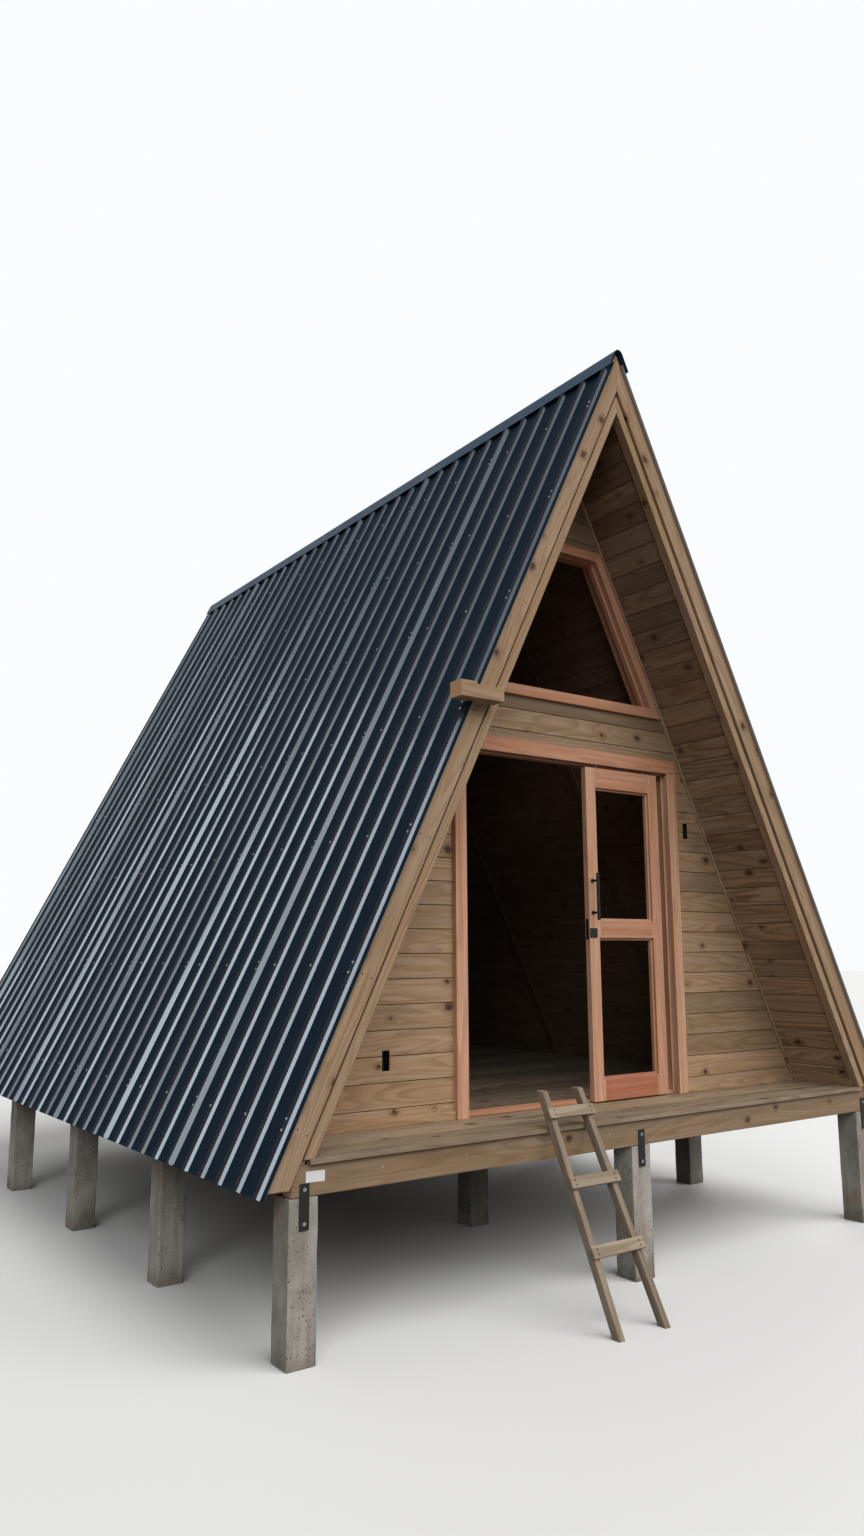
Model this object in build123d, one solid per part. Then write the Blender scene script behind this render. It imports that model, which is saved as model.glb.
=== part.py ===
from build123d import *
import math
import os

os.makedirs("parts", exist_ok=True)

# Roof line: the outer faces of the rake boards, which the sheets lie on
length = 6000
roof_half_width = 2330
roof_rise = 4715
eave_above_beam = 27

# Ground, piers and floor
pier_height = 700
pier_size = 150
pier_outside_beam = 10
pier_rows = 5
beam_end_gap = 23
beam_thickness = 75
beam_height = 135
joist_thickness = 50
joist_height = 110
joists_each_side = 3
board_thickness = 22
deck_setback = 4
strap_length = 195
strap_above_pier = 83
strap_above_left_pier = 57
strap_width = 48
strap_thickness = 5

# Layers of the roof, square to the slope, from the roof line inwards
batten_height = 40
batten_width = 60
batten_spacing = 750
batten_count = 7
batten_ridge_gap = 420
rafter_height = 103
rafter_thickness = 50
rafter_count = 9
lining_thickness = 18

# Ribbed sheets and the ridge cap
sheet_thickness = 1.0
rib_height = 25
rib_base = 66
rib_top = 30
rib_count = 32
sheet_overhang = 22
sheet_eave_drop = 15
sheet_ridge_gap = 78
cap_flange = 185
cap_fold_radius = 34
cap_gap = 0.3
cap_end = 4

# Rake boards at both gables
barge_width = 108
barge_thickness = 27
barge_foot_above_beam = 40
trim_gap = 15
trim_thickness = 17
trim_return = 42
trim_return_thickness = 12

# Gable walls
porch_depth = 536
back_overhang = 300
wall_thickness = 100
pocket_width = 46
pocket_height = 104
pocket_depth = 50
pocket_left_x = -1355
pocket_left_z = 492
pocket_right_x = 1068
pocket_right_z = 1855
skirting_height = 45
skirting_thickness = 15
skirting_gap = 0.3
corner_trim = 16
cover_strip_width = 60
cover_strip_thickness = 12
cover_strip_ridge_gap = 60

# Door frame
frame_proud = 30
frame_depth = 140
door_left = -907
door_right = 956
door_head_top = 2317
jamb_width = 80
head_height = 90
fin_setback = 50
fin_thickness = 8
fin_height = 10
sill_height = 20
track_width = 30
track_height = 26
track_wall = 3
track_slot = 12
track_play = 2

# Sliding leaf, parked towards the right jamb as it stands
leaf_left = 125
leaf_width = 648
leaf_thickness = 40
leaf_setback = 5
leaf_floor_gap = 8
leaf_head_gap = 22
stile_width = 98
top_rail_height = 140
lock_rail_height = 135
lock_rail_centre = 1190
bottom_rail_height = 140
rebate_width = 14
rebate_depth = 16
hanger_length = 60
hanger_inset = 110
hanger_pin = 6
hanger_lift = 0.3
hanger_top_room = 3
pull_length = 289
pull_size = 20
pull_standoff = 40
pull_x_from_edge = 32
pull_bottom_z = 1245
pull_foot_inset = 46
pull_foot_size = 14
pull_rose_size = 24
pull_rose_thickness = 6
lock_plate_width = 59
lock_plate_height = 57
lock_plate_thickness = 5
lock_plate_centre_z = 1168
lock_plate_aside = 18
lock_edge_height = 125
lock_edge_raise = 22
lock_edge_width = 22
lock_edge_thickness = 2

# Upper window frame
window_bottom = 2600
window_top = 3660
window_roof_gap = 32
window_member = 62
window_frame_depth = 136
window_frame_proud = 22
window_fin_setback = 40
window_fin_height = 16
window_fin_thickness = 34

# Cross block on the left rake board
block_outside_roof = 154
block_length = 282
block_bottom = 2345
block_height = 87
block_depth = 100
block_clearance = 4
block_step_depth = 13
block_step_length = 178

# Ladder
ladder_foot_out = 550
ladder_gap = 0.3
ladder_top_z = 335
ladder_left_top = -690
ladder_right_top = -404
ladder_left_foot = -792
ladder_right_foot = -452
stile_across = 36
stile_deep = 45
rung_height = 58
rung_thickness = 20
rung_first_level = 228
rung_gap_high = 309
rung_gap_low = 284
rung_overhang = 14

# Levels and planes that follow from the sizes above
slope_length = math.hypot(roof_half_width, roof_rise)
out_x = roof_rise / slope_length
out_z = roof_half_width / slope_length
apex_z = pier_height + eave_above_beam + roof_rise
beam_top = pier_height + beam_height
floor_top = beam_top + board_thickness
rafter_out = batten_height
rafter_in = batten_height + rafter_height
lining_in = rafter_in + lining_thickness
front = -length / 2
back = length / 2
boards_front = front + barge_thickness
boards_back = back - barge_thickness
wall_front = front + porch_depth
wall_back = wall_front + wall_thickness
rear_wall_outer = back - back_overhang
rear_wall_inner = rear_wall_outer - wall_thickness
frame_front = wall_front - frame_proud
frame_back = frame_front + frame_depth
head_top = pier_height + door_head_top
head_bottom = head_top - head_height
opening_left = door_left + jamb_width
opening_right = door_right - jamb_width
row_spacing = (length - 2 * barge_thickness - pier_size) / (pier_rows - 1)
leaf_front = frame_front + leaf_setback
leaf_back = leaf_front + leaf_thickness
leaf_right = leaf_left + leaf_width
leaf_bottom = floor_top + leaf_floor_gap
leaf_top = head_bottom - leaf_head_gap
track_centre = leaf_front + leaf_thickness / 2


def level(above_beam):
    """Height above the ground of a level given above the floor beams."""
    return pier_height + above_beam


def slope_x(depth, z):
    """Distance from the middle to the plane `depth` inside the roof line at height z."""
    return ((apex_z - z) * out_z - depth) / out_x


def slope_apex(depth):
    """Height where the plane `depth` inside the roof line meets the middle."""
    return apex_z - depth / out_z


def block(x0, x1, y0, y1, z0, z1):
    """Rectangular piece between two corners."""
    centre = Pos((x0 + x1) / 2, (y0 + y1) / 2, (z0 + z1) / 2)
    return centre * Box(abs(x1 - x0), abs(y1 - y0), abs(z1 - z0))


def prism_y(points, y0, y1):
    """Outline given as (x, z) points, extruded from y0 to y1."""
    face = make_face(Polyline(*[(x, 0, z) for x, z in points], close=True))
    solid = extrude(face, amount=y1 - y0, dir=(0, 1, 0))
    return Pos(0, y0, 0) * solid


def band(outer, inner, low, y0, y1):
    """Right-hand roof layer between two depths, mitred at the ridge, cut level at its foot."""
    outline = [
        (0, slope_apex(outer)),
        (slope_x(outer, low), low),
        (slope_x(inner, low), low),
        (0, slope_apex(inner)),
    ]
    return prism_y(outline, y0, y1)


def on_side(solid, side):
    """The right-hand solid itself, or its mirror image on the left."""
    if side == "right":
        return solid
    return mirror(solid, about=Plane.YZ)


def slope_plane():
    """Plane on the right-hand roof line: x runs down the slope, y along the ridge."""
    return Plane(origin=(0, 0, apex_z), x_dir=(out_z, 0, -out_x), z_dir=(out_x, 0, out_z))


def on_slope(s0, s1, y0, y1, n0, n1):
    """Rectangular piece set on the right-hand slope, n measured outwards."""
    return slope_plane() * block(s0, s1, y0, y1, n0, n1)


def write(name, *solids):
    """One STEP file for a node made of one or more solids."""
    shape = solids[0] if len(solids) == 1 else Compound(children=list(solids))
    export_step(shape, "parts/" + name + ".step")


def row_centre(row):
    return front + barge_thickness + pier_size / 2 + row * row_spacing


beam_half_length = slope_x(barge_width, level(barge_foot_above_beam)) - beam_end_gap
pier_column = beam_half_length + pier_outside_beam - pier_size / 2


def make_piers():
    half = pier_size / 2
    for name, x in (("left", -pier_column), ("middle", 0), ("right", pier_column)):
        piers = []
        for row in range(pier_rows):
            y = row_centre(row)
            piers.append(block(x - half, x + half, y - half, y + half, 0, pier_height))
        write("piers_" + name, *piers)


def make_straps():
    """Flat steel bars bolted over the joint of beam and pier, on both gables."""
    straps = []
    for x, above in ((-pier_column, strap_above_left_pier), (0, strap_above_pier),
                     (pier_column, strap_above_pier)):
        z1 = pier_height + above
        z0 = z1 - strap_length
        x0 = x - strap_width / 2
        x1 = x + strap_width / 2
        straps.append(block(x0, x1, boards_front - strap_thickness, boards_front, z0, z1))
        straps.append(block(x0, x1, boards_back, boards_back + strap_thickness, z0, z1))
    write("pier_straps", *straps)


def beam_span(row):
    """Front and back face of the beam on a row: outer rows stand flush with their piers."""
    if row == 0:
        return boards_front, boards_front + beam_thickness
    if row == pier_rows - 1:
        return boards_back - beam_thickness, boards_back
    return row_centre(row) - beam_thickness / 2, row_centre(row) + beam_thickness / 2


def make_floor():
    beams = []
    for row in range(pier_rows):
        y0, y1 = beam_span(row)
        beams.append(block(-beam_half_length, beam_half_length, y0, y1, pier_height, beam_top))
    write("floor_beams", *beams)

    joists = []
    outer_x = beam_half_length - joist_thickness / 2
    spacing = outer_x / joists_each_side
    for row in range(pier_rows - 1):
        y0 = beam_span(row)[1]
        y1 = beam_span(row + 1)[0]
        for step in range(-joists_each_side, joists_each_side + 1):
            x = step * spacing
            x0 = x - joist_thickness / 2
            x1 = x + joist_thickness / 2
            joists.append(block(x0, x1, y0, y1, beam_top - joist_height, beam_top))
    write("floor_joists", *joists)

    half = slope_x(lining_in, beam_top)
    write("porch_deck", block(-half, half, front + deck_setback, wall_front, beam_top, floor_top))
    write("room_floor", block(-half, half, wall_front, back - deck_setback, beam_top, floor_top))


def make_roof(side):
    rafters = []
    first = boards_front + rafter_thickness / 2
    pitch = (boards_back - boards_front - rafter_thickness) / (rafter_count - 1)
    for index in range(rafter_count):
        y = first + index * pitch
        y0 = y - rafter_thickness / 2
        y1 = y + rafter_thickness / 2
        rafters.append(on_side(band(rafter_out, rafter_in, beam_top, y0, y1), side))
    write("rafters_" + side, *rafters)

    battens = []
    for index in range(batten_count):
        s0 = batten_ridge_gap + index * batten_spacing
        piece = on_slope(s0, s0 + batten_width, boards_front, boards_back, -batten_height, 0)
        battens.append(on_side(piece, side))
    write("battens_" + side, *battens)

    lining = band(rafter_in, lining_in, floor_top, boards_front, boards_back)
    write("lining_" + side, on_side(lining, side))
    write("roof_sheet_" + side, on_side(roof_sheet(), side))


def rib_outline():
    """Underside of the ribbed sheet along the ridge, as (y, height) points."""
    half_base = rib_base / 2
    half_top = rib_top / 2
    first = front + half_base
    pitch = (length - rib_base) / (rib_count - 1)
    points = [(front - sheet_overhang, 0)]
    for index in range(rib_count):
        y = first + index * pitch
        points.append((y - half_base + sheet_thickness, 0))
        points.append((y - half_top, rib_height))
        points.append((y + half_top, rib_height))
        points.append((y + half_base - sheet_thickness, 0))
    points.append((back + sheet_overhang, 0))
    return points


def roof_sheet():
    """One side of the roof: the rib outline with its thickness, run down the slope."""
    under = rib_outline()
    over = [(y, h + sheet_thickness) for y, h in reversed(under)]
    outline = [(0, y, h) for y, h in under + over]
    face = make_face(Polyline(*outline, close=True))
    s_end = slope_length + sheet_eave_drop
    sheet = extrude(face, amount=s_end - sheet_ridge_gap, dir=(1, 0, 0))
    return slope_plane() * Pos(sheet_ridge_gap, 0, 0) * sheet


def rounded_wedge(depth, radius, low, y0, y1):
    """Solid under the plane `depth` inside the roof line, rounded along the ridge."""
    reach = slope_x(depth, low)
    corners = [(0, 0, slope_apex(depth)), (reach, 0, low), (-reach, 0, low)]
    face = make_face(Polyline(*corners, close=True))
    face = fillet(face.vertices().sort_by(Axis.Z)[-1], radius)
    return Pos(0, y0, 0) * extrude(face, amount=y1 - y0, dir=(0, 1, 0))


def make_ridge_cap():
    """Folded cap over the ribs of both sides, rounded along the ridge."""
    under = -(rib_height + sheet_thickness + cap_gap)
    over = under - sheet_thickness
    low = slope_apex(over) - cap_flange * out_x
    y0 = front - sheet_overhang - cap_end
    y1 = back + sheet_overhang + cap_end
    cap = rounded_wedge(over, cap_fold_radius, low, y0, y1)
    cap -= rounded_wedge(under, cap_fold_radius - sheet_thickness, low, y0, y1)
    write("ridge_cap", cap)


def rake_trim(gable, inward):
    """Corner stick over the ends and the face of the lining, `inward` being +1 or -1 along y."""
    trim_out = barge_width + trim_gap
    trim_in = lining_in + trim_return_thickness
    face = band(trim_out, trim_in, floor_top, *sorted((gable - inward * trim_thickness, gable)))
    leg = band(lining_in, trim_in, floor_top, *sorted((gable, gable + inward * trim_return)))
    return face + leg


def make_rake_boards():
    """Outer board and inner corner stick on each rake of both gables."""
    low = level(barge_foot_above_beam)
    for side in ("left", "right"):
        barge = band(0, barge_width, low, front, boards_front)
        write("front_barge_" + side, on_side(barge, side))
        write("front_trim_" + side, on_side(rake_trim(boards_front, 1), side))
        barge = band(0, barge_width, low, boards_back, back)
        trim = rake_trim(boards_back, -1)
        write("back_barge_" + side, on_side(barge, side), on_side(trim, side))


def wall_panel(x0, x1, z0, z1):
    """Part of the front gable inside the lining, between two uprights and two levels."""
    outline = [(0, slope_apex(lining_in))]
    outline.append((slope_x(lining_in, floor_top), floor_top))
    outline.append((-slope_x(lining_in, floor_top), floor_top))
    gable = prism_y(outline, wall_front, wall_back)
    return gable & block(x0, x1, wall_front, wall_back, z0, z1)


def make_front_wall():
    reach = slope_x(lining_in, floor_top)
    pocket_y = wall_front + pocket_depth
    left = wall_panel(-reach, door_left, floor_top, head_top)
    right = wall_panel(door_right, reach, floor_top, head_top)
    for name, panel, x, z in (
        ("front_wall_left", left, pocket_left_x, level(pocket_left_z)),
        ("front_wall_right", right, pocket_right_x, level(pocket_right_z)),
    ):
        x0 = x - pocket_width / 2
        x1 = x + pocket_width / 2
        z0 = z - pocket_height / 2
        z1 = z + pocket_height / 2
        write(name, panel - block(x0, x1, wall_front - 1, pocket_y, z0, z1))
    sill = level(window_bottom)
    lintel = level(window_top)
    write("front_wall_over_door", wall_panel(-reach, reach, head_top, sill))
    write("front_wall_apex", wall_panel(-reach, reach, lintel, apex_z))
    side = band(lining_in, lining_in + window_roof_gap, sill, wall_front, wall_back)
    side = side & block(0, reach, wall_front, wall_back, sill, lintel)
    write("window_side_studs", side, on_side(side, "left"))


def window_outline(inset):
    """Corners of the sloping window, `inset` inside the frame's outer edge."""
    depth = lining_in + window_roof_gap + inset
    low = level(window_bottom) + inset
    high = level(window_top) - inset
    return [
        (slope_x(depth, low), low),
        (slope_x(depth, high), high),
        (-slope_x(depth, high), high),
        (-slope_x(depth, low), low),
    ]


def make_window_frame():
    """Four members in one ring, with a fin that the light closes against."""
    y0 = wall_front - window_frame_proud
    y1 = y0 + window_frame_depth
    ring = prism_y(window_outline(0), y0, y1)
    ring = ring - prism_y(window_outline(window_member), y0 - 1, y1 + 1)
    fin_front = y0 + window_fin_setback
    fin = prism_y(window_outline(window_member), fin_front, fin_front + window_fin_thickness)
    hole = prism_y(window_outline(window_member + window_fin_height), y0, y1)
    write("window_frame", ring + (fin - hole))


def make_back_wall():
    outline = [
        (0, slope_apex(lining_in)),
        (slope_x(lining_in, floor_top), floor_top),
        (-slope_x(lining_in, floor_top), floor_top),
    ]
    write("back_wall", prism_y(outline, rear_wall_inner, rear_wall_outer))


def make_wall_trims():
    """Square strips in the corner of wall and lining, and strips along the wall's foot."""
    y0 = wall_front - corner_trim
    corner = band(lining_in, lining_in + corner_trim, floor_top + skirting_height, y0, wall_front)
    rear = band(lining_in, lining_in + corner_trim, floor_top, rear_wall_outer,
                rear_wall_outer + corner_trim)
    write("corner_trim_left", on_side(corner, "left"), on_side(rear, "left"))
    write("corner_trim_right", corner, rear)
    z1 = floor_top + skirting_height
    y0 = wall_front - skirting_thickness
    reach = slope_x(lining_in, z1)
    left = block(-reach, door_left, y0, wall_front, floor_top, z1)
    right = block(door_right, reach, y0, wall_front, floor_top, z1)
    porch_side = band(lining_in, lining_in + skirting_thickness, floor_top,
                      boards_front + trim_return, y0 - skirting_gap)
    wide = slope_x(lining_in, floor_top)
    porch_side = porch_side & block(0, wide, boards_front, wall_front, floor_top, z1)
    write("skirting", left, right, porch_side, on_side(porch_side, "left"))


def make_cover_strips():
    """Strips over the butt joints of the lining boards, inside the room."""
    strips = []
    top = slope_apex(lining_in) - cover_strip_ridge_gap
    for row in (1, 2, 3):
        y0 = row_centre(row) - cover_strip_width / 2
        y1 = row_centre(row) + cover_strip_width / 2
        strip = band(lining_in, lining_in + cover_strip_thickness, floor_top, y0, y1)
        reach = slope_x(lining_in, floor_top)
        strip = strip & block(0, reach, y0, y1, floor_top, top)
        strips.append(strip)
        strips.append(on_side(strip, "left"))
    write("cover_strips", *strips)


def make_door_frame():
    fin_front = frame_front + fin_setback
    fin_back = fin_front + fin_thickness
    head = block(door_left, door_right, frame_front, frame_back, head_bottom, head_top)
    head_fin = block(opening_left, opening_right, fin_front, fin_back,
                     head_bottom - fin_height, head_bottom)
    groove = block(opening_left, opening_right, track_centre - track_width / 2,
                   track_centre + track_width / 2, head_bottom, head_bottom + track_height)
    write("door_head", head + head_fin - groove)

    track = block(opening_left, opening_right, track_centre - track_width / 2,
                  track_centre + track_width / 2, head_bottom, head_bottom + track_height)
    bore = block(opening_left, opening_right, track_centre - track_width / 2 + track_wall,
                 track_centre + track_width / 2 - track_wall, head_bottom + track_wall,
                 head_bottom + track_height - track_wall)
    slot = block(opening_left, opening_right, track_centre - track_slot / 2,
                 track_centre + track_slot / 2, head_bottom, head_bottom + track_wall)
    write("door_track", track - bore - slot)

    left = block(door_left, opening_left, frame_front, frame_back, floor_top, head_bottom)
    left_fin = block(opening_left, opening_left + fin_height, fin_front, fin_back,
                     floor_top + sill_height, head_bottom - fin_height)
    write("door_jamb_left", left + left_fin)
    right = block(opening_right, door_right, frame_front, frame_back, floor_top, head_bottom)
    right_fin = block(opening_right - fin_height, opening_right, fin_front, fin_back,
                      floor_top + sill_height, head_bottom - fin_height)
    write("door_jamb_right", right + right_fin)
    write("door_sill", block(opening_left, opening_right, fin_front, frame_back,
                             floor_top, floor_top + sill_height))


def leaf_rail(z0, z1, rebate_low, rebate_high):
    """Rail between the stiles, rebated on the front along its glazing edges."""
    x0 = leaf_left + stile_width
    x1 = leaf_right - stile_width
    rail = block(x0, x1, leaf_front, leaf_back, z0, z1)
    if rebate_low:
        rail -= block(x0, x1, leaf_front, leaf_front + rebate_depth, z0, z0 + rebate_width)
    if rebate_high:
        rail -= block(x0, x1, leaf_front, leaf_front + rebate_depth, z1 - rebate_width, z1)
    return rail


def make_leaf():
    bottom_rail_top = leaf_bottom + bottom_rail_height
    lock_low = level(lock_rail_centre) - lock_rail_height / 2
    lock_high = level(lock_rail_centre) + lock_rail_height / 2
    top_low = leaf_top - top_rail_height
    rebate_back = leaf_front + rebate_depth

    stiles = []
    for x0, edge in ((leaf_left, leaf_left + stile_width - rebate_width),
                     (leaf_right - stile_width, leaf_right - stile_width)):
        stile = block(x0, x0 + stile_width, leaf_front, leaf_back, leaf_bottom, leaf_top)
        for z0, z1 in ((bottom_rail_top, lock_low), (lock_high, top_low)):
            stile -= block(edge, edge + rebate_width, leaf_front, rebate_back,
                           z0 - rebate_width, z1 + rebate_width)
        stiles.append(stile)
    write("leaf_stiles", *stiles)
    write("leaf_rails",
          leaf_rail(leaf_bottom, bottom_rail_top, False, True),
          leaf_rail(lock_low, lock_high, True, True),
          leaf_rail(top_low, leaf_top, True, False))

    pull_x = leaf_left + pull_x_from_edge
    half = pull_size / 2
    z0 = level(pull_bottom_z)
    z1 = z0 + pull_length
    y1 = leaf_front - pull_standoff
    bar = Pos(pull_x, y1 - half, (z0 + z1) / 2) * Cylinder(half, pull_length)
    for z in (z0 + pull_foot_inset, z1 - pull_foot_inset):
        foot = Pos(pull_x, (leaf_front + y1 - half) / 2, z) * Rot(90, 0, 0)
        bar += foot * Cylinder(pull_foot_size / 2, leaf_front - y1 + half)
        rose = Pos(pull_x, leaf_front - pull_rose_thickness / 2, z) * Rot(90, 0, 0)
        bar += rose * Cylinder(pull_rose_size / 2, pull_rose_thickness)
    write("leaf_pull", bar)

    plate_z = level(lock_plate_centre_z)
    plate_x = leaf_left + stile_width / 2 - lock_plate_aside
    plate = block(plate_x - lock_plate_width / 2, plate_x + lock_plate_width / 2,
                  leaf_front - lock_plate_thickness, leaf_front,
                  plate_z - lock_plate_height / 2, plate_z + lock_plate_height / 2)
    edge_z = plate_z + lock_edge_raise
    edge_plate = block(leaf_left - lock_edge_thickness, leaf_left,
                       track_centre - lock_edge_width / 2, track_centre + lock_edge_width / 2,
                       edge_z - lock_edge_height / 2, edge_z + lock_edge_height / 2)
    write("leaf_lock", plate, edge_plate)

    shoe_low = head_bottom + track_wall + hanger_lift
    shoe_high = head_bottom + track_height - track_wall - hanger_top_room
    hangers = []
    for x in (leaf_left + hanger_inset, leaf_right - hanger_inset):
        shoe_half = track_width / 2 - track_wall - track_play
        shoe = block(x - hanger_length / 2, x + hanger_length / 2, track_centre - shoe_half,
                     track_centre + shoe_half, shoe_low, shoe_high)
        pin_mid = (leaf_top + shoe_low) / 2
        pin = Pos(x, track_centre, pin_mid) * Cylinder(hanger_pin / 2, shoe_low - leaf_top)
        hangers.append(shoe + pin)
    write("leaf_hangers", *hangers)


def make_cross_block():
    """Offcut nailed across the left rake board, stepped on top, cut out at the back for the sheet."""
    z0 = level(block_bottom)
    z1 = z0 + block_height
    x0 = -slope_x(0, (z0 + z1) / 2) - block_outside_roof
    piece = block(x0, x0 + block_length, front - block_depth, front, z0, z1)
    piece -= block(x0 + block_length - block_step_length, x0 + block_length, front - block_depth,
                   front, z1 - block_step_depth, z1)
    room = rib_height + sheet_thickness + block_clearance
    slot = band(-room, 0, z0 - block_height, front - sheet_overhang - block_clearance, front)
    write("cross_block", piece - on_side(slot, "left"))


def make_ladder():
    """Two stiles leaning on the deck's edge, with the rungs nailed on their fronts."""
    lean_run = ladder_foot_out - stile_deep
    lean_angle = math.degrees(math.atan2(lean_run, floor_top))
    cosine = math.cos(math.radians(lean_angle))
    tangent = math.tan(math.radians(lean_angle))
    edge_y = front + deck_setback - ladder_gap

    def back_y(z):
        """Back face of the stiles at height z: it touches the deck's front edge."""
        return edge_y + (z - floor_top) * tangent

    depth = stile_deep / cosine
    top_z = level(ladder_top_z)
    side = [(back_y(0) - depth, 0), (back_y(0), 0), (back_y(top_z), top_z),
            (back_y(top_z) - depth, top_z)]
    profile = make_face(Polyline(*[(0, y, z) for y, z in side], close=True))
    slab = extrude(profile, amount=length, dir=(1, 0, 0), both=True)
    stiles = []
    for foot, top, inward in ((ladder_left_foot, ladder_left_top, 1),
                              (ladder_right_foot, ladder_right_top, -1)):
        strip = prism_y([(foot, 0), (foot + inward * stile_across, 0),
                         (top + inward * stile_across, top_z), (top, top_z)],
                        front - length, front + length)
        stiles.append(slab & strip)
    write("ladder_stiles", *stiles)

    rungs = []
    highest = level(rung_first_level)
    middle = highest - rung_gap_high
    for z in (highest, middle, middle - rung_gap_low):
        share = z / top_z
        x0 = ladder_left_foot + (ladder_left_top - ladder_left_foot) * share - rung_overhang
        x1 = ladder_right_foot + (ladder_right_top - ladder_right_foot) * share + rung_overhang
        front_y = back_y(z) - depth
        rung = Box(x1 - x0, rung_thickness, rung_height)
        rung = Pos(0, -rung_thickness / 2, 0) * rung
        rungs.append(Pos((x0 + x1) / 2, front_y, z) * Rot(-lean_angle, 0, 0) * rung)
    write("ladder_rungs", *rungs)


make_piers()
make_straps()
make_floor()
make_roof("left")
make_roof("right")
make_ridge_cap()
make_rake_boards()
make_front_wall()
make_window_frame()
make_back_wall()
make_wall_trims()
make_cover_strips()
make_door_frame()
make_leaf()
make_cross_block()
make_ladder()
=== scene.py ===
# %% [markdown]
# # Dressing an A-frame cabin
#
# The cabin arrives as a frame of plain solids: piers, beams, slabs for the boarded walls, ribbed roof
# sheets and a door leaf that slides. Each step below takes one part of the real building, says what it
# is made of, and gives the plain solid its boards, its fixings or its finish.

# %% Load the frame
import math
import random

import bmesh
import bpy
from mathutils import Matrix, Vector, noise


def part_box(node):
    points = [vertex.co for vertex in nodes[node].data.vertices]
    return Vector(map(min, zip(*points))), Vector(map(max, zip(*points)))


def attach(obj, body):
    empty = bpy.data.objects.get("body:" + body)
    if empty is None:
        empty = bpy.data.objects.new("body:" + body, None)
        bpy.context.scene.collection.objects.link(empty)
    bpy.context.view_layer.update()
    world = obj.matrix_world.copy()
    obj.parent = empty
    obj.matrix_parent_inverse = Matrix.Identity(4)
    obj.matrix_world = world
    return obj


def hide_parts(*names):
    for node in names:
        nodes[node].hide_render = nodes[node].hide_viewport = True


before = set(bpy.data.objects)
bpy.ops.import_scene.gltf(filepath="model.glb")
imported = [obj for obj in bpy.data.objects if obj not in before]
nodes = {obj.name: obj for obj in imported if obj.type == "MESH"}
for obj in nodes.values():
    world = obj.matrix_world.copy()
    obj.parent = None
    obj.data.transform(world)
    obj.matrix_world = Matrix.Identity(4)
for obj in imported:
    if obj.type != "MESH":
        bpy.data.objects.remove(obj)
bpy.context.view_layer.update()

# %% [markdown]
# ## The camera
#
# The photo was taken by a standing person, to the left of the porch and a little in front of it, with
# the lens tilted up. The camera's place and turn were worked out from straight edges whose real sizes
# are known. They are kept here as plain angles, and the lens follows from the picture's long side.

# %% Place the camera
EYE = Vector((-4.515, -7.278, 1.755))
YAW = 0.6241
PITCH = 0.1719
ROLL = -0.0044
FOCAL_PIXELS = 1060.56
LONG_SIDE_PIXELS = 1536

forward = Vector((math.sin(YAW) * math.cos(PITCH), math.cos(YAW) * math.cos(PITCH), math.sin(PITCH)))
level_right = Vector((math.cos(YAW), -math.sin(YAW), 0))
level_up = level_right.cross(forward)
right = level_right * math.cos(ROLL) + level_up * math.sin(ROLL)
up = level_up * math.cos(ROLL) - level_right * math.sin(ROLL)
turn = Matrix((right, up, -forward)).transposed().to_4x4()

camera_data = bpy.data.cameras.new("camera")
camera_data.sensor_width = 36.0
camera_data.lens = camera_data.sensor_width * FOCAL_PIXELS / LONG_SIDE_PIXELS
camera = bpy.data.objects.new("camera", camera_data)
camera.matrix_world = Matrix.Translation(EYE) @ turn
bpy.context.scene.collection.objects.link(camera)
bpy.context.scene.camera = camera
print("the lens is", round(camera_data.lens, 2), "mm")

# %% [markdown]
# ## The roof line as a ruler
#
# Nearly everything on an A-frame is set square to its two slopes. The rake board gives the ridge and the
# foot of the slope, and from them come two directions: down the slope, and outwards from it.

# %% Measure the slope from the rake board
rake_low, rake_high = [Vector(corner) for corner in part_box("front_barge_right")]
FRONT = rake_low.y
APEX = rake_high.z
RIDGE = Vector((0, 0, APEX))
run = rake_high.x
drop = APEX - rake_low.z
slope = math.hypot(run, drop)
DOWN = {"right": Vector((run / slope, 0, -drop / slope)), "left": Vector((-run / slope, 0, -drop / slope))}
OUT = {"right": Vector((drop / slope, 0, run / slope)), "left": Vector((-drop / slope, 0, run / slope))}
X = Vector((1, 0, 0))
Y = Vector((0, 1, 0))
Z = Vector((0, 0, 1))
print("the roof stands at", round(math.degrees(math.atan2(drop, run)), 1), "degrees")

# %% [markdown]
# ## Helpers for materials
#
# A material is a small network of nodes. The helpers below keep such a network short to write: `add`
# makes one node and fills in its inputs, with values or with the outputs of other nodes, and `calc` is
# the same for one step of arithmetic. `cloud` is a soft noise, `fade` is a smooth step from one value to
# another, and `mix` lays one colour over another.

# %% Define the node helpers
def new_finish(name):
    """An empty material, with its node tree and its surface shader."""
    finish = bpy.data.materials.new(name)
    finish.use_nodes = True
    return finish, finish.node_tree, finish.node_tree.nodes["Principled BSDF"]


def add(tree, kind, inputs, **settings):
    """One new node: an input takes a plain value or another node's output."""
    made = tree.nodes.new("ShaderNode" + kind)
    for key, value in settings.items():
        setattr(made, key, value)
    for key, value in inputs.items():
        if isinstance(value, bpy.types.NodeSocket):
            tree.links.new(value, made.inputs[key])
        else:
            made.inputs[key].default_value = value
    return made


def calc(tree, operation, first, second=0.0):
    """One step of arithmetic on two values."""
    return add(tree, "Math", {0: first, 1: second}, operation=operation).outputs[0]


def stretch(tree, vector, scale):
    """The vector with its three parts multiplied, which sets how long and how wide a pattern is."""
    return add(tree, "VectorMath", {0: vector, 1: scale}, operation="MULTIPLY").outputs[0]


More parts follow.
